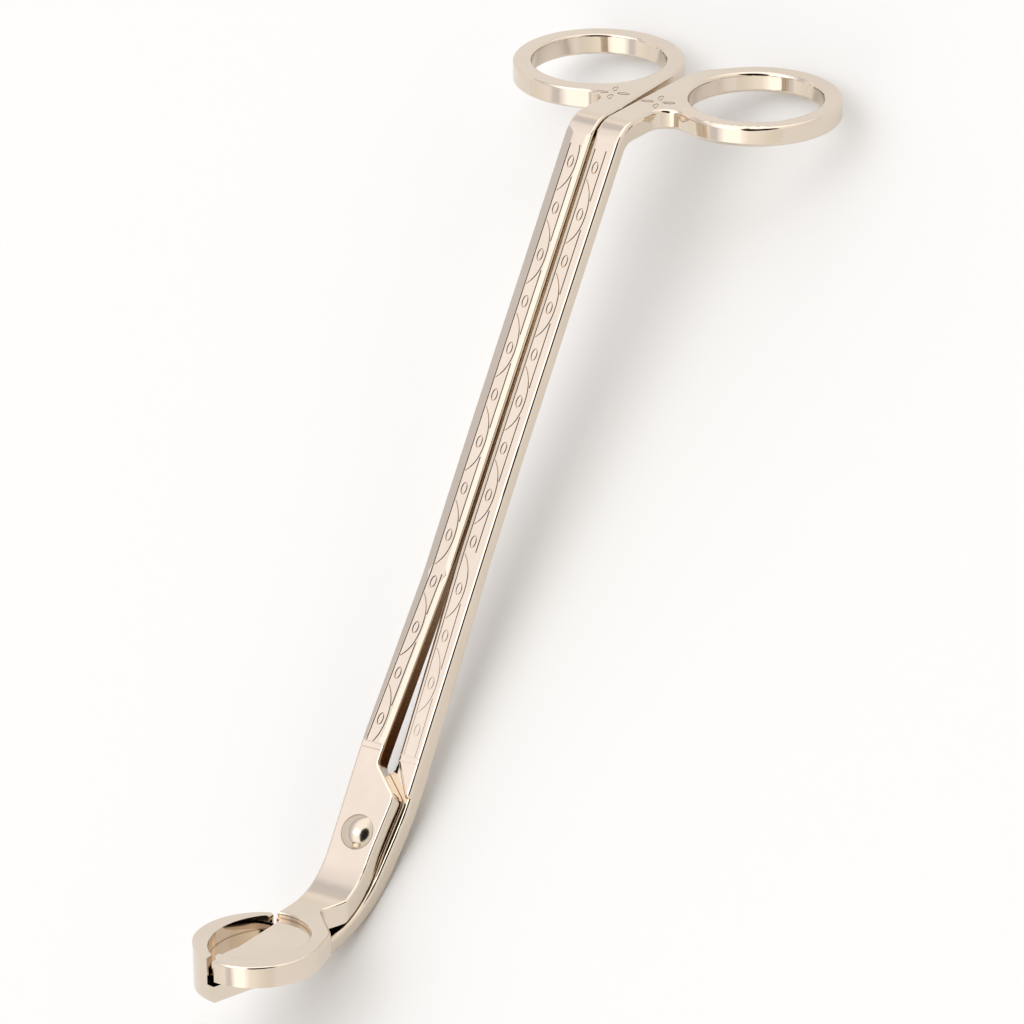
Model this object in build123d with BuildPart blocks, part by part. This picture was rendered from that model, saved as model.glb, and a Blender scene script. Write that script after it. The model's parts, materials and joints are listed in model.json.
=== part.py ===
from build123d import *
import os
from math import cos, radians, sin, tan

# Wick trimmer: two one-piece levers that cross at a riveted pivot. The handles, the pivot plates and the
# jaws each lie in a plane of their own, so that the tool reaches down into a jar with the hand above it.
#
# Every part is drawn on three kinds of plane. "shaft" carries the handles and the pivot: its origin is
# where the pivot axis leaves the upper plate, X is across the tool and Y runs towards the finger rings.
# "head" and "ring" are the shaft plane turned about X at the two bends.
# The part stands as it lies on a table: on its elbow and on the far edges of both rings.

# ---- driving dimensions, in millimetres and degrees ----
lying_angle = 11.13
pivot_height = 7.41
pivot_setback = -51.16

handle_half_gap = 0.13
handle_outer = 4.95
handle_drop = 2.45
handle_thickness = 2.5

plate_thickness = 3.1
lower_plate_thickness = 3.2
plate_gap = 0.1
plate_left = 4.2

ring_bend_y = 116.0
ring_angle = 56.8
ring_spread = 14.6
ring_reach = 22.0
ring_hole_radius = 10.4
ring_radius = 13.3
ring_thickness = 3.3
ring_bend_radius = 5.5
ring_root_radius = 3.0
left_ring_lean = 4.0
right_ring_lean = 44.0

head_bend_y = -10.1
head_angle = 54.0
head_x = -1.0
head_reach = 19.8
head_radius = 10.05
head_thickness = 3.5
neck_gap = 0.85
lower_head_depth = 7.0
head_bend_radius = 12.0

tray_depth = 1.0
tray_x = -2.6
tray_reach = 18.2
tray_radius = 8.5
blade_thickness = 1.0
blade_edge_x = -3.3
shear_gap = 0.25
floor_radius = 7.7
relief_radius = 8.9
rim_end_x = -2.4
shoulder_turn = 15.0
lower_rim_end_x = -3.9

upper_edge_radius = 0.4
lower_edge_radius = 0.6
sharpest_left = 25

# Band that is cut into the top of each handle: two border lines, a row of ovals and a wave past every
# other oval. Two grooves cross the handle at its plate end, and a blossom is cut into each ring's root.
band_half = 1.02
line_width = 0.22
line_depth = 0.12
oval_pitch = 7.58
oval_width = 1.1
oval_length = 2.05
wave_gap = 2.3
wave_turns = ((-band_half, 5.8), (0.7, 2.8), (band_half, 0), (0.7, -2.4), (-band_half, -5.1))
groove_lift = 0.2
cross_pitch = 0.95
petal_count = 4
petal_length = 2.0
petal_width = 0.9
petal_reach = 1.7
petal_depth = 0.08
petal_turn = 20

# The upper handle's top falls away a little on both sides of its band, and the lower handle's inner edge is
# rolled over, wider than its other edges. Both run past the ends of a band by band_overlap, or over the bend.
bevel_inset = 1.15
bevel_reach = 4.0
outer_bevel_fall = 0.3
inner_bevel_fall = 0.22
roll_inset = 1.12
roll_radius = 1.05
roll_clearance = 0.004
band_overlap = 0.5
bend_overlap = 6.0

rivet_radius = 1.5
rivet_clearance = 0.05
dome_radius = 2.8
dome_height = 1.35
tail_radius = 2.4
tail_height = 0.6

lower_plate_top = plate_thickness + plate_gap
lower_plate_bottom = lower_plate_top + lower_plate_thickness
lower_head_top = head_thickness + neck_gap
shoulder = (
    head_x + head_radius * cos(radians(shoulder_turn)),
    -head_reach + head_radius * sin(radians(shoulder_turn)),
)


# ---- planes ----
def turned(y, z, angle):
    """The shaft plane moved to (y, z) in its own axes and turned down by angle about X."""
    slope = radians(lying_angle)
    tilt = radians(angle - lying_angle)
    origin = (
        0,
        pivot_setback + y * cos(slope) - z * sin(slope),
        pivot_height + y * sin(slope) + z * cos(slope),
    )
    return Plane(origin=origin, x_dir=(1, 0, 0), z_dir=(0, sin(tilt), cos(tilt)))


shaft = turned(0, 0, 0)
head = turned(head_bend_y, 0, head_angle)
ring = turned(ring_bend_y, -handle_drop, ring_angle)
side = Plane(origin=shaft.origin, x_dir=shaft.y_dir, z_dir=(1, 0, 0))


def on_plane(bend, angle, reach, depth):
    """Side-view point at reach along a turned plane and depth under its face."""
    turn = radians(angle)
    return (
        bend[0] + reach * cos(turn) - depth * sin(turn),
        bend[1] - reach * sin(turn) - depth * cos(turn),
    )


def meeting(bend, angle, level, depth):
    """Side-view corner between the shaft-plane line at level and a turned face at depth."""
    reach = (bend[1] - level - depth * cos(radians(angle))) / sin(radians(angle))
    return on_plane(bend, angle, reach, depth)


head_bend = (head_bend_y, 0.0)
ring_bend = (ring_bend_y, -handle_drop)
handle_bottom = handle_drop + handle_thickness
root_start = 3.5
root_end = 4.2
ramp_radius = 40
taper_radius = 1500
plate_taper_radius = 500
blank_half_width = 20
plan_height = 60
plan_depth = 140


def lever_side(neck_end, head_top, head_bottom, top_run, bottom_run):
    """Closed side view of a lever, from its neck to the root of its ring; runs hold (y, z, radius)."""
    ring_heel = meeting(ring_bend, ring_angle, -handle_bottom, ring_thickness)
    corners = [
        (*on_plane(head_bend, head_angle, -neck_end, head_top), 0),
        *top_run,
        (*ring_bend, ring_bend_radius),
        (*on_plane(ring_bend, ring_angle, root_end, 0), 0),
        (*on_plane(ring_bend, ring_angle, root_end, ring_thickness), 0),
        (*ring_heel, ring_bend_radius - handle_thickness),
        *bottom_run,
        (*on_plane(head_bend, head_angle, -neck_end, head_bottom), 0),
    ]
    return FilletPolyline(*[corner[:2] for corner in corners], radius=[corner[2] for corner in corners],
                          close=True)


def ring_face(hand, lean, inner_radius):
    """Finger ring with its root on the ring plane: hand is -1 on the left and 1 on the right, and the
    inner side of the root turns away by lean to run into the ring's outline."""
    far = hand * handle_outer
    near = hand * handle_half_gap
    slope = radians(lean)
    touch_x = ring_spread - ring_radius * cos(slope)
    touch_y = ring_reach + ring_radius * sin(slope)
    turn_y = touch_y - (touch_x - handle_half_gap) / tan(slope)
    with Locations((hand * ring_spread, ring_reach)):
        Circle(ring_radius)
    with BuildLine() as root:
        FilletPolyline(
            (far, root_start), (near, root_start), (near, turn_y), (hand * touch_x, touch_y),
            (hand * ring_spread, ring_reach), (far, ring_reach - 6),
            radius=[0, 0, inner_radius, 0, 0, 0], close=True,
        )
    make_face(root.edges())


def head_disc():
    """Outline circle that both jaws share when the tool is shut."""
    with Locations((head_x, -head_reach)):
        Circle(head_radius)


def sharp_edges(body):
    """Convex edges of a body where its faces meet at more than sharpest_left degrees."""
    faces_at = {}
    for face in body.faces():
        for edge in face.edges():
            faces_at.setdefault(hash(edge), []).append((edge, face))
    sharp = ShapeList()
    for pairs in faces_at.values():
        if len(pairs) != 2:
            continue
        middle = pairs[0][0].position_at(0.5)
        normals = [face.normal_at(middle) for _, face in pairs]
        if normals[0].get_angle(normals[1]) < sharpest_left:
            continue
        step = (normals[0] - normals[1]).normalized() * 0.03
        if not body.is_inside(middle + step) and not body.is_inside(middle - step):
            sharp.append(pairs[0][0])
    return sharp


def land(start, end):
    """Plane on the top of a handle, from the plate end of a band to its ring end, both in shaft axes."""
    foot = shaft.from_local_coords(Vector(*start))
    way = shaft.from_local_coords(Vector(*end)) - foot
    up = shaft.x_dir.cross(way)
    return Plane(origin=foot, x_dir=way.cross(up), z_dir=up)


def shave(start, end, before, after, profile):
    """Cut a profile away along a band; it reaches before and after past the band's two ends. The profile's X
    runs across the handle from the band's middle, and its Y up from the land."""
    top = land(start, end)
    length = (Vector(*end) - Vector(*start)).length
    section = Plane(origin=top.origin - top.y_dir * before, x_dir=top.x_dir, z_dir=-top.y_dir)
    with BuildSketch(section) as cutter:
        profile()
    extrude(cutter.sketch, amount=-length - before - after, mode=Mode.SUBTRACT)


def bevel(side_sign, fall):
    """Profile of a slope that starts beside the band and is fall deep at bevel_reach."""
    with BuildLine() as outline:
        Polyline((side_sign * bevel_inset, 0), (side_sign * bevel_reach, fall),
                 (side_sign * bevel_reach, -fall), close=True)
    make_face(outline.edges())


def roll():
    """Profile outside the rounding of the lower handle's inner edge."""
    with Locations((-roll_inset, -roll_radius)):
        Rectangle(2 * roll_radius, 2 * roll_radius, align=(Align.MAX, Align.MIN))
    with Locations((-roll_inset, roll_clearance - roll_radius)):
        Circle(roll_radius, mode=Mode.SUBTRACT)


def engrave(start, end, stations, waved):
    """Cut a band into a land; stations are the ovals' places along Y of the shaft plane."""
    top = land(start, end)
    length = (Vector(*end) - Vector(*start)).length
    stretch = length / (end[1] - start[1])
    with BuildSketch(top.offset(groove_lift)) as grooves:
        with Locations((-band_half, length / 2)):
            Rectangle(line_width, length)
        for station, wave in zip(stations, waved):
            place = (station - start[1]) * stretch
            with Locations((0, place)):
                Ellipse(oval_width / 2, oval_length / 2)
                Ellipse(oval_width / 2 - line_width, oval_length / 2 - line_width, mode=Mode.SUBTRACT)
            if wave:
                with BuildLine() as curve:
                    Spline([(x, place + along) for x, along in wave_turns])
                trace(curve.edges(), line_width=line_width)
            else:
                border_start = max(0, place - oval_pitch + wave_gap)
                border_end = min(length, place + oval_pitch - wave_gap)
                with Locations((band_half, (border_start + border_end) / 2)):
                    Rectangle(line_width, border_end - border_start)
        with Locations((0, length / 2)):
            Rectangle(2 * band_half + line_width, length, mode=Mode.INTERSECT)
    extrude(grooves.sketch, amount=-line_depth - groove_lift, mode=Mode.SUBTRACT)


def cross_grooves(face_plane, x_from, x_to, far_y):
    """Cut the pair of grooves that close the band at its plate end."""
    with BuildSketch(face_plane.offset(groove_lift)) as grooves:
        for y in (far_y, far_y - cross_pitch):
            with Locations(((x_from + x_to) / 2, y)):
                SlotOverall(x_to - x_from, line_width)
    extrude(grooves.sketch, amount=-line_depth - groove_lift, mode=Mode.SUBTRACT)


def blossom(x, y):
    """Cut the outlines of a ring of petals into the root of a finger ring."""
    with BuildSketch(ring.offset(groove_lift)) as grooves:
        with Locations((x, y)):
            with PolarLocations(petal_reach, petal_count, start_angle=petal_turn):
                Ellipse(petal_length / 2, petal_width / 2)
                Ellipse(petal_length / 2 - line_width, petal_width / 2 - line_width, mode=Mode.SUBTRACT)
    extrude(grooves.sketch, amount=-petal_depth - groove_lift, mode=Mode.SUBTRACT)


# ---- upper lever: left handle, right jaw ----
with BuildPart() as upper_lever:
    with BuildSketch(side):
        with BuildLine():
            lever_side(
                6.6, 0, head_thickness,
                [(*head_bend, head_bend_radius), (14, 0, ramp_radius), (42, -handle_drop, ramp_radius)],
                [(46, -handle_bottom, ramp_radius), (13, -plate_thickness, ramp_radius),
                 (*meeting(head_bend, head_angle, -plate_thickness, head_thickness), head_bend_radius + 3)],
            )
        make_face()
    extrude(amount=blank_half_width, both=True)
    with BuildSketch(shaft.offset(plan_height)):
        with BuildLine():
            FilletPolyline(
                (-plate_left, -30), (3.55, -30), (3.55, -3), (4.4, 6.6), (-handle_half_gap, 10.8),
                (-handle_half_gap, 140), (-handle_outer, 140), (-handle_outer, 55), (-plate_left, -2),
                radius=[0, 0, 40, 1.8, 1.8, 0, 0, taper_radius, plate_taper_radius], close=True,
            )
        make_face()
    extrude(amount=-plan_depth, mode=Mode.INTERSECT)
    # Jaw: a disc cut off straight along the blade.
    with BuildSketch(head):
        head_disc()
        with BuildLine():
            Polyline((-plate_left, -6.2), (shoulder[0], -6.2), shoulder, (head_x, -head_reach),
                     (-plate_left, -11), close=True)
        make_face()
        with BuildLine():
            Polyline((-20, -10.2), (blade_edge_x, -10.2), (blade_edge_x, -28.2), (rim_end_x, -28.2),
                     (rim_end_x, -32), (-20, -32), close=True)
        make_face(mode=Mode.SUBTRACT)
        with Locations((-plate_left, -8)):
            Rectangle(20, 30, align=(Align.MAX, Align.CENTER), mode=Mode.SUBTRACT)
    extrude(amount=-head_thickness)
    # Waist between the neck and the jaw, with the shoulder that swells out from it into the disc.
    with BuildSketch(head.offset(5)):
        with BuildLine():
            FilletPolyline((4.6, -0.7), (1.1, -5.9), (7.3, -12.1), shoulder, (14, shoulder[1]), (14, -0.7),
                           radius=[0, 1.2, 3, 0, 0, 0], close=True)
        make_face()
    extrude(amount=-12, mode=Mode.SUBTRACT)
    with BuildSketch(head):
        with Locations((tray_x, -tray_reach)):
            Circle(tray_radius)
    extrude(amount=-tray_depth, mode=Mode.SUBTRACT)
    with BuildSketch(head.offset(-tray_depth - blade_thickness)):
        with Locations((tray_x, -tray_reach)):
            Circle(relief_radius)
    extrude(amount=-5, mode=Mode.SUBTRACT)
    with BuildSketch(ring) as left_ring:
        ring_face(-1, left_ring_lean, 60)
        fillet(left_ring.vertices().sort_by_distance((-handle_outer, 12.8))[0], ring_root_radius)
    extrude(amount=-ring_thickness)
    with BuildSketch(ring):
        with Locations((-ring_spread, ring_reach)):
            Circle(ring_hole_radius)
    extrude(amount=-ring_thickness, mode=Mode.SUBTRACT)
    # The edges are soft, apart from the blade and the hidden underside of the neck and the jaw.
    def stays_sharp(edge):
        place = head.to_local_coords(edge.position_at(0.5))
        underside = place.Y < -0.5 and place.Z < 0.9 - head_thickness
        blade = place.Y < -9 and place.X < -2
        return underside or blade

    fillet(sharp_edges(upper_lever.part).filter_by(stays_sharp, reverse=True), upper_edge_radius)
    with BuildSketch(shaft):
        Circle(rivet_radius + rivet_clearance)
    extrude(amount=-plate_thickness, mode=Mode.SUBTRACT)
    for start, end, after, first, waved in (
        ((-2.3, 42, -handle_drop), (-2.3, 111.6, -handle_drop), bend_overlap, 108.8,
         (1, 0, 1, 0, 1, 0, 1, 0, 1)),
        ((-2.5, 14.1, -0.02), (-2.3, 42, -handle_drop), 0, 108.8 - 9 * oval_pitch, (0, 1, 0, 1)),
    ):
        shave(start, end, 0, after, lambda: bevel(-1, outer_bevel_fall))
        shave(start, end, 0, after, lambda: bevel(1, inner_bevel_fall))
        engrave(start, end, [first - step * oval_pitch for step in range(len(waved))], waved)
    cross_grooves(shaft, -plate_left - 0.4, -0.55, 14.0)
    blossom(-4.6, 11.0)

# ---- lower lever: right handle, left jaw ----
with BuildPart() as lower_lever:
    with BuildSketch(side):
        with BuildLine():
            lever_side(
                9.5, lower_head_top, lower_head_depth,
                [(*meeting(head_bend, head_angle, -lower_plate_top, lower_head_top), head_bend_radius + 3.5),
                 (-3, -lower_plate_top, 0), (2, -handle_drop - 0.1, 0), (45, -handle_drop, ramp_radius)],
                [(46, -handle_bottom, ramp_radius), (10, -lower_plate_bottom, ramp_radius),
                 (*meeting(head_bend, head_angle, -lower_plate_bottom, lower_head_depth), 20)],
            )
        make_face()
    extrude(amount=blank_half_width, both=True)
    with BuildSketch(shaft.offset(plan_height)):
        with BuildLine():
            FilletPolyline(
                (-plate_left, -30), (3.3, -30), (3.3, -15.5), (5.5, 4.5), (handle_outer, 60),
                (handle_outer, 140), (handle_half_gap, 140), (handle_half_gap, 50), (1.3, 11.5),
                (-plate_left, 4),
                radius=[0, 0, 25, 60, taper_radius, 0, 0, 800, 2, 0], close=True,
            )
        make_face()
    extrude(amount=-plan_depth, mode=Mode.INTERSECT)
    with BuildSketch(shaft.offset(-lower_plate_top)):
        with BuildLine():
            Polyline((-8, -4), (8, -4), (8, 1.5), (0.2, 14.25), (-8, 14.25), close=True)
        make_face()
    extrude(amount=5, mode=Mode.SUBTRACT)
    with BuildSketch(head.offset(-lower_head_top)):
        head_disc()
        with BuildLine():
            Polyline((-plate_left, -7.4), (3.3, -7.4), (3.3, -11), (head_x, -head_reach), (-plate_left, -12),
                     close=True)
        make_face()
        with BuildLine():
            Polyline((20, -3), (3.3, -3), (3.3, -10.5), (-2.7, -30.5), (20, -30.5), close=True)
        make_face(mode=Mode.SUBTRACT)
    extrude(amount=lower_head_top - lower_head_depth)
    # Raised floor that the blade shears against.
    with BuildSketch(head.offset(-tray_depth - blade_thickness - shear_gap)):
        with Locations((tray_x, -tray_reach)):
            Circle(floor_radius)
        with BuildLine():
            Polyline((20, -3), (3.3, -3), (3.3, -10.5), (-2.7, -30.5), (20, -30.5), close=True)
        make_face(mode=Mode.SUBTRACT)
    extrude(amount=-2)
    with BuildSketch(head):
        head_disc()
        with Locations((lower_rim_end_x, -head_reach)):
            Rectangle(30, 30, align=(Align.MIN, Align.CENTER), mode=Mode.SUBTRACT)
        with Locations((-plate_left - 0.4, 0)):
            Rectangle(30, 2 * head_reach, align=(Align.MIN, Align.CENTER), mode=Mode.SUBTRACT)
    extrude(amount=-lower_head_depth)
    with BuildSketch(head):
        head_disc()
        with Locations((2.3, -19.5)):
            Circle(10.6, mode=Mode.INTERSECT)
    extrude(amount=-tray_depth - blade_thickness - shear_gap, mode=Mode.SUBTRACT)
    with BuildSketch(ring) as right_ring:
        ring_face(1, right_ring_lean, 8)
        fillet(right_ring.vertices().sort_by_distance((handle_outer, 12.8))[0], ring_root_radius)
    extrude(amount=-ring_thickness)
    with BuildSketch(ring):
        with Locations((ring_spread, ring_reach)):
            Circle(ring_hole_radius)
    extrude(amount=-ring_thickness, mode=Mode.SUBTRACT)
    # The edges are soft, apart from those that the jaws shear on and those hidden under the upper plate.
    def lies_hidden(edge):
        place = shaft.to_local_coords(edge.position_at(0.5))
        return abs(place.Z + lower_plate_top) < 0.1 and place.Y < 13 or place.X < 3 and place.Y < -17

    fillet(sharp_edges(lower_lever.part).filter_by(lies_hidden, reverse=True), lower_edge_radius)
    with BuildSketch(shaft):
        Circle(rivet_radius)
    extrude(amount=-lower_plate_bottom, mode=Mode.SUBTRACT)
    for start, end, before, after, first, waved in (
        ((2.25, 46.5, -handle_drop), (2.25, 111.6, -handle_drop), band_overlap, bend_overlap, 108.7,
         (0, 1, 0, 1, 0, 1, 0, 1, 0)),
        ((3.26, 13.6, -handle_drop), (2.25, 46.5, -handle_drop), 3.2, band_overlap,
         108.7 - 9 * oval_pitch, (1, 0, 1, 0)),
    ):
        shave(start, end, before, after, roll)
        engrave(start, end, [first - step * oval_pitch for step in range(len(waved))], waved)
    cross_grooves(shaft.offset(-handle_drop), 1.3, 5.25, 13.5)
    blossom(3.4, 11.6)

# ---- pivot rivet ----
with BuildPart() as pivot_rivet:
    with BuildSketch(shaft.offset(rivet_clearance)):
        Circle(rivet_radius)
    extrude(amount=-lower_plate_bottom - rivet_clearance)
    for face_plane, radius, height in (
        (shaft.offset(rivet_clearance), dome_radius, dome_height),
        (Plane(origin=shaft.offset(-lower_plate_bottom).origin, x_dir=(1, 0, 0), z_dir=-shaft.z_dir),
         tail_radius, tail_height),
    ):
        ball_radius = (radius**2 + height**2) / (2 * height)
        with BuildPart(face_plane.offset(height - ball_radius), mode=Mode.PRIVATE) as cap:
            Sphere(ball_radius)
            split(bisect_by=face_plane, keep=Keep.TOP)
        add(cap.part)

pieces = {"upper_lever": upper_lever, "lower_lever": lower_lever, "pivot_rivet": pivot_rivet}
os.makedirs("parts", exist_ok=True)
for label, piece in pieces.items():
    piece.part.label = label
    export_step(piece.part, f"parts/{label}.step")
    print(label, round(piece.part.volume), len(piece.part.solids()), piece.part.bounding_box().min,
          piece.part.bounding_box().max)
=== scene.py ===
import json
from math import cos, radians, sin

import bpy
from mathutils import Matrix, Vector


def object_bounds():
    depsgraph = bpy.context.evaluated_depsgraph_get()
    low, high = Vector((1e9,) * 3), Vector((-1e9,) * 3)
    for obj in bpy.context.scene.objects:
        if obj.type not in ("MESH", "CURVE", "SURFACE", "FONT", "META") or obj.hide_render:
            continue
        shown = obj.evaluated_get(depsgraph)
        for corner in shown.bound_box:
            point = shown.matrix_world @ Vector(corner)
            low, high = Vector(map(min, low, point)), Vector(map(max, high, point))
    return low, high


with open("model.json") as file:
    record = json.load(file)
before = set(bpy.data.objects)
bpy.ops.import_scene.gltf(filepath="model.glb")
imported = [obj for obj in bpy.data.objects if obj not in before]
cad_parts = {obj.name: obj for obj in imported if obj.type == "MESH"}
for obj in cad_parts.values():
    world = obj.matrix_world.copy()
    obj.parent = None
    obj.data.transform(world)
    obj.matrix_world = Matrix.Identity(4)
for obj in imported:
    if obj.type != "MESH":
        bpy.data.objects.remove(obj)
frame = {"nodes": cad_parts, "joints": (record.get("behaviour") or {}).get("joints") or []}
cad_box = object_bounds()

# The wick trimmer's three pieces are solid metal whose shapes the CAD model holds, so they all stay, and
# this script gives them their plated metal, the studio and the camera.

low, high = cad_box
centre = (low + high) / 2
length = high.y - low.y
pivot = Vector(frame["joints"][0]["pos_m"])
pivot_axis = Vector(frame["joints"][0]["axis"])


# ---- camera ----
# It looks down on the tool from its right, with the jaws towards it and the tool rising to the right. It aims
# beside the rivet's foot on the upper plate, FRAME_RIGHT and FRAME_UP away across the picture.
CAMERA_AZIMUTH = 62.5
CAMERA_ELEVATION = 54.0
CAMERA_ROLL = 43.1
CAMERA_DISTANCE = 5.0
FRAME_WIDTH = 0.1566
FRAME_RIGHT = 0.0237
FRAME_UP = 0.0489
RIVET_FOOT = 0.00315
SENSOR = 36.0
CLIP = (0.05, 10)


def direction(azimuth, elevation):
    """Unit vector from the tool towards azimuth and elevation, in degrees."""
    a, e = radians(azimuth), radians(elevation)
    return Vector((sin(a) * cos(e), -cos(a) * cos(e), sin(e)))


def camera_axes(azimuth, elevation, roll):
    """Right, up and back of a camera at azimuth and elevation, rolled about its view, in degrees."""
    a, r = radians(azimuth), radians(roll)
    back = direction(azimuth, elevation)
    level = Vector((cos(a), sin(a), 0))
    right = level * cos(r) - back.cross(level) * sin(r)
    return right, back.cross(right), back


def add_camera():
    right, up, back = camera_axes(CAMERA_AZIMUTH, CAMERA_ELEVATION, CAMERA_ROLL)
    target = pivot + pivot_axis * RIVET_FOOT + right * FRAME_RIGHT + up * FRAME_UP
    data = bpy.data.cameras.new("camera")
    camera = bpy.data.objects.new("camera", data)
    bpy.context.scene.collection.objects.link(camera)
    data.sensor_width = SENSOR
    data.lens = SENSOR * CAMERA_DISTANCE / FRAME_WIDTH
    data.clip_start, data.clip_end = CLIP
    turn = Matrix((right, up, back)).transposed()
    camera.matrix_world = Matrix.Translation(target + back * CAMERA_DISTANCE) @ turn.to_4x4()
    bpy.context.scene.camera = camera


# ---- shader helpers ----
def feed(links, socket, value):
    """Give a socket a constant, or link it to the socket that value is."""
    if isinstance(value, bpy.types.NodeSocket):
        links.new(value, socket)
    else:
        socket.default_value = value


def calculate(tree, operation, first, second=0.0):
    node = tree.nodes.new("ShaderNodeMath")
    node.operation = operation
    feed(tree.links, node.inputs[0], first)
    feed(tree.links, node.inputs[1], second)
    return node.outputs["Value"]


def fade(tree, value, start, end, to_start=0.0, to_end=1.0, smooth=False, clamp=True):
    """Value's run from start to end, made to run from to_start to to_end."""
    node = tree.nodes.new("ShaderNodeMapRange")
    node.clamp = clamp
    if smooth:
        node.interpolation_type = "SMOOTHSTEP"
    feed(tree.links, node.inputs["Value"], value)
    feed(tree.links, node.inputs["From Min"], start)
    feed(tree.links, node.inputs["From Max"], end)
    feed(tree.links, node.inputs["To Min"], to_start)
    feed(tree.links, node.inputs["To Max"], to_end)
    return node.outputs["Result"]


def ramp(tree, value, stops, interpolation="LINEAR"):
    """Colour ramp with stops of (position, colour)."""
    node = tree.nodes.new("ShaderNodeValToRGB")
    node.color_ramp.interpolation = interpolation
    elements = node.color_ramp.elements
    while len(elements) < len(stops):
        elements.new(0.5)
    for element, (position, colour) in zip(elements, stops):
        element.position = position
        element.color = (*colour, 1)
    tree.links.new(value, node.inputs["Fac"])
    return node.outputs["Color"]


def multiply(tree, colour, tint, factor=1.0):
    """Colour multiplied by tint, as far as factor."""
    node = tree.nodes.new("ShaderNodeMix")
    node.data_type = "RGBA"
    node.blend_type = "MULTIPLY"
    feed(tree.links, node.inputs["Factor"], factor)
    feed(tree.links, node.inputs["A"], colour)
    feed(tree.links, node.inputs["B"], tint)
    return node.outputs["Result"]


def noise(tree, place, scale, detail):
    node = tree.nodes.new("ShaderNodeTexNoise")
    node.inputs["Scale"].default_value = scale
    node.inputs["Detail"].default_value = detail
    tree.links.new(place, node.inputs["Vector"])
    return node.outputs["Fac"]


def split(tree, vector):
    """X, Y and Z of a vector."""
    node = tree.nodes.new("ShaderNodeSeparateXYZ")
    tree.links.new(vector, node.inputs["Vector"])
    return node.outputs


# ---- materials ----
WHITE = (1, 1, 1)
TONE_SCALE = 90
TONE_DARK = 0.95
RUB_SCALE = 700
RUB_RANGE = (0.8, 1.3)
WAVE_SCALE = 110

# Polish and painted shade in the grooves: their colour, how wide a hollow takes them, and how open the fully
# dark and the
#  bare metal are.
GROOVE_POLISH_AND_SHADE = (0.52, 0.39, 0.27)
GROOVE_REACH = 0.0004
GROOVE_OPEN = (0.35, 0.8)
# Painted shade on the walls between the handles, for the dark slit they face: its colour, where along the
# tool from the pivot it starts, is
#  darkest and ends, and how squarely the fully dark walls and the bare ones face each other.
SLIT_PAINTED_SHADE = (0.28, 0.16, 0.07)
SLIT_START = 0.007
SLIT_DARKEST = 0.010
SLIT_END = 0.080
SLIT_FACING = (-0.9, -0.5)


def new_material(name):
    material = bpy.data.materials.new(name)
    material.use_nodes = True
    return material, material.node_tree, material.node_tree.nodes["Principled BSDF"]


def groove_polish_and_shade(tree, colour):
    # Painted shade with the polish: ambient occlusion darkens narrow hollows and corners towards the polish
    # colour.
    hollow = tree.nodes.new("ShaderNodeAmbientOcclusion")
    hollow.samples = 8
    hollow.only_local = True
    hollow.inputs["Distance"].default_value = GROOVE_REACH
    dark, bare = GROOVE_OPEN
    return multiply(tree, colour, ramp(tree, hollow.outputs["AO"], ((dark, GROOVE_POLISH_AND_SHADE), (bare, WHITE))))


def slit_painted_shade(tree, place, colour):
    """Painted shade: brown the walls that face the tool's middle plane, between the plate and the middle of
    the handles.
    """
    spot = split(tree, place.outputs["Object"])
    facing = split(tree, place.outputs["Normal"])
    side = calculate(tree, "SIGN", spot["X"])
    inward = calculate(tree, "MULTIPLY", side, facing["X"])
    dark, bare = SLIT_FACING
    wall = fade(tree, inward, bare, dark)
    begun = fade(tree, spot["Y"], pivot.y + SLIT_START, pivot.y + SLIT_DARKEST, to_end=wall)
    amount = fade(tree, spot["Y"], pivot.y + SLIT_END, pivot.y + SLIT_DARKEST, to_end=begun)
    return multiply(tree, colour, (*SLIT_PAINTED_SHADE, 1), amount)


def plated_metal(name, colour, roughness, wave_height):
    """Polished plating: a faint drift of tone, polish and painted shade dark in the grooves, painted shade on
    the walls
     between the handles, fine rubbing marks and the slow waves of a surface that was cast and buffed by hand."""
    material, tree, shader = new_material(name)
    shader.inputs["Metallic"].default_value = 1.0
    place = tree.nodes.new("ShaderNodeTexCoord")

    tone = noise(tree, place.outputs["Object"], TONE_SCALE, 3)
    drift = ramp(tree, tone, ((0.3, [c * TONE_DARK for c in colour]), (0.7, colour)))
    # The drifting tone, with painted shade in the grooves and on the walls between the handles.
    toned_and_shaded = slit_painted_shade(tree, place, groove_polish_and_shade(tree, drift))
    tree.links.new(toned_and_shaded, shader.inputs["Base Color"])

    smooth, rough = RUB_RANGE
    rubbed = noise(tree, place.outputs["Object"], RUB_SCALE, 4)
    spread = fade(tree, rubbed, 0.0, 1.0, roughness * smooth, roughness * rough)
    tree.links.new(spread, shader.inputs["Roughness"])

    bump = tree.nodes.new("ShaderNodeBump")
    bump.inputs["Strength"].default_value = 1.0
    bump.inputs["Distance"].default_value = wave_height
    tree.links.new(noise(tree, place.outputs["Object"], WAVE_SCALE, 2), bump.inputs["Height"])
    tree.links.new(bump.outputs["Normal"], shader.inputs["Normal"])
    return material


def paint(node, material):
    mesh = frame["nodes"][node].data
    mesh.materials.clear()
    mesh.materials.append(material)


# ---- studio ----
FLOOR_ALBEDO = 0.86
FLOOR_GAP = 0.0002
FLOOR_HALF = length * 12

# Light of the tent by how far it leans to the right of the zenith, in degrees.
TENT = (
    (-88, (1.0, 0.97, 0.92)),
    (-62, (1.10, 1.07, 1.04)),
    (-53, (0.84, 0.82, 0.84)),
    (-43, (0.80, 0.79, 0.83)),
    (-36, (1.12, 1.10, 1.14)),
    (-28, (1.36, 1.33, 1.36)),
    (-20, (1.6, 1.58, 1.55)),
    (22, (1.6, 1.58, 1.55)),
    (34, (1.35, 1.32, 1.28)),
    (50, (1.15, 1.12, 1.05)),
    (88, (0.95, 0.92, 0.86)),
)
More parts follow.
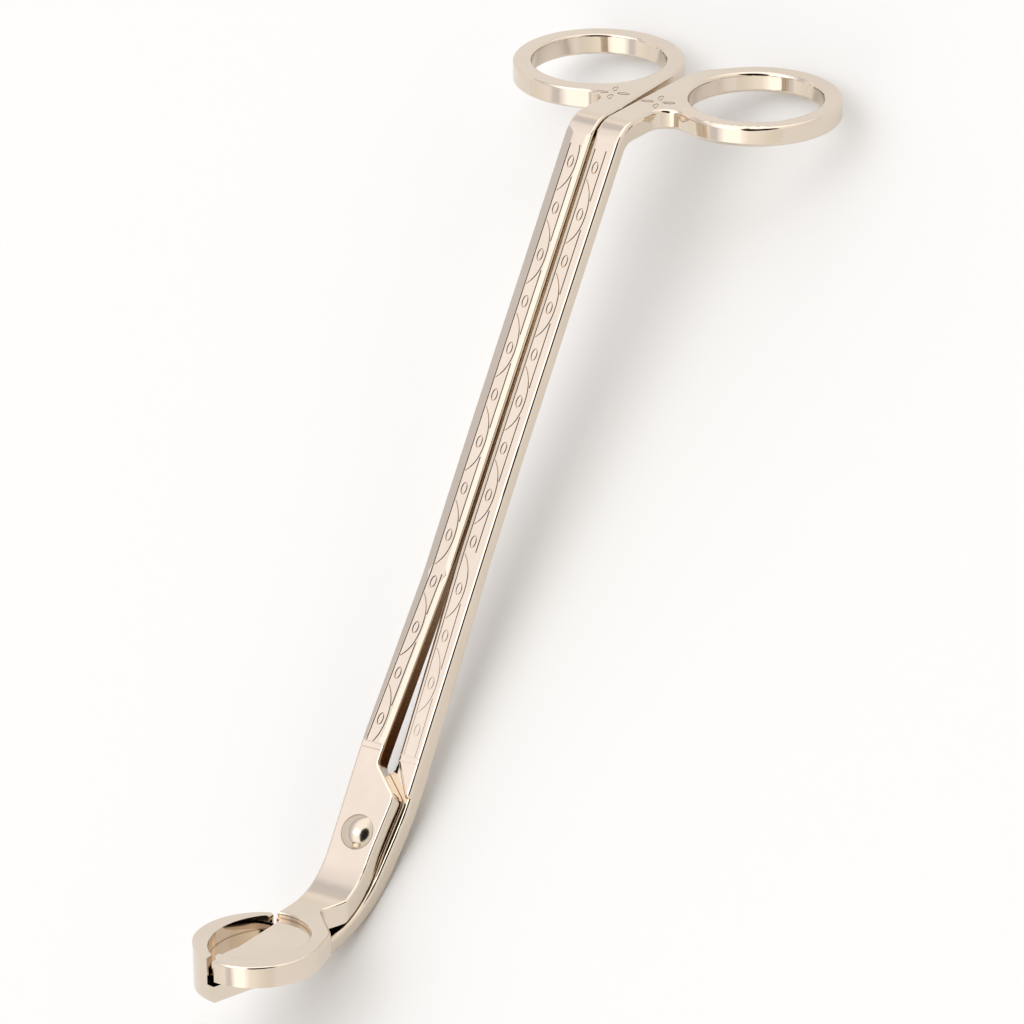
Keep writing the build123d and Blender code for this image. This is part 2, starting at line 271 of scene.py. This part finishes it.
# Dark gap in the tent where the camera looks in: its lean, its place along the tool, the factor (under 1)
# that lengthens it that way, and the angles at which the dark ends and the cloth is full.
GAP_LEAN = 34
GAP_ALONG = -0.2
GAP_STRETCH = 0.65
GAP_INNER = 19
GAP_OUTER = 25
GAP_LIGHT = 0.012


def add_floor():
    data = bpy.data.meshes.new("floor")
    half = FLOOR_HALF
    corners = [(-half, -half, 0), (half, -half, 0), (half, half, 0), (-half, half, 0)]
    data.from_pydata(corners, [], [(0, 1, 2, 3)])
    floor = bpy.data.objects.new("floor", data)
    bpy.context.scene.collection.objects.link(floor)
    floor.location.z = low.z - FLOOR_GAP
    material, _, shader = new_material("floor")
    shader.inputs["Base Color"].default_value = (FLOOR_ALBEDO, FLOOR_ALBEDO, FLOOR_ALBEDO, 1)
    shader.inputs["Roughness"].default_value = 1.0
    shader.inputs["Specular IOR Level"].default_value = 0.0
    data.materials.append(material)


def add_softbox(name, azimuth, elevation, distance, size, power):
    """Square area light that faces the tool's middle."""
    data = bpy.data.lights.new(name, "AREA")
    data.shape = "SQUARE"
    data.size = size
    data.energy = power
    light = bpy.data.objects.new(name, data)
    bpy.context.scene.collection.objects.link(light)
    back = direction(azimuth, elevation)
    light.location = centre + back * distance
    light.rotation_mode = "QUATERNION"
    light.rotation_quaternion = back.to_track_quat("Z", "Y")


def add_world():
    """A tent of white cloth: bright overhead, duller towards its sides, with a dark gap on the right where
    the camera looks in. The gap is longer along the tool."""
    world = bpy.data.worlds.new("studio")
    bpy.context.scene.world = world
    world.use_nodes = True
    tree = world.node_tree
    place = tree.nodes.new("ShaderNodeTexCoord")
    parts = split(tree, place.outputs["Generated"])
    lean = calculate(tree, "ARCTAN2", parts["X"], parts["Z"])
    sweep = fade(tree, lean, radians(-90), radians(90))
    cloth = ramp(tree, sweep, [((angle + 90) / 180, light) for angle, light in TENT], "EASE")

    offset = tree.nodes.new("ShaderNodeCombineXYZ")
    beside = calculate(tree, "SUBTRACT", lean, radians(GAP_LEAN))
    along = fade(tree, parts["Y"], GAP_ALONG, GAP_ALONG + 1, to_end=GAP_STRETCH, clamp=False)
    tree.links.new(beside, offset.inputs["X"])
    tree.links.new(along, offset.inputs["Y"])
    reach = tree.nodes.new("ShaderNodeVectorMath")
    reach.operation = "LENGTH"
    tree.links.new(offset.outputs["Vector"], reach.inputs[0])
    gap = fade(tree, reach.outputs["Value"], radians(GAP_INNER), radians(GAP_OUTER), GAP_LIGHT, smooth=True)
    tree.links.new(multiply(tree, cloth, gap), tree.nodes["Background"].inputs["Color"])


plating = plated_metal("champagne_plating", (0.74, 0.645, 0.54), 0.06, 0.00006)
for node in ("upper_lever", "lower_lever"):
    paint(node, plating)
paint("pivot_rivet", plated_metal("rivet_plating", (0.62, 0.54, 0.45), 0.14, 0.00002))

add_floor()
add_softbox("key", azimuth=-30, elevation=75, distance=1.5, size=0.8, power=2)
add_world()
add_camera()
bpy.context.scene.view_settings.view_transform = "Standard"
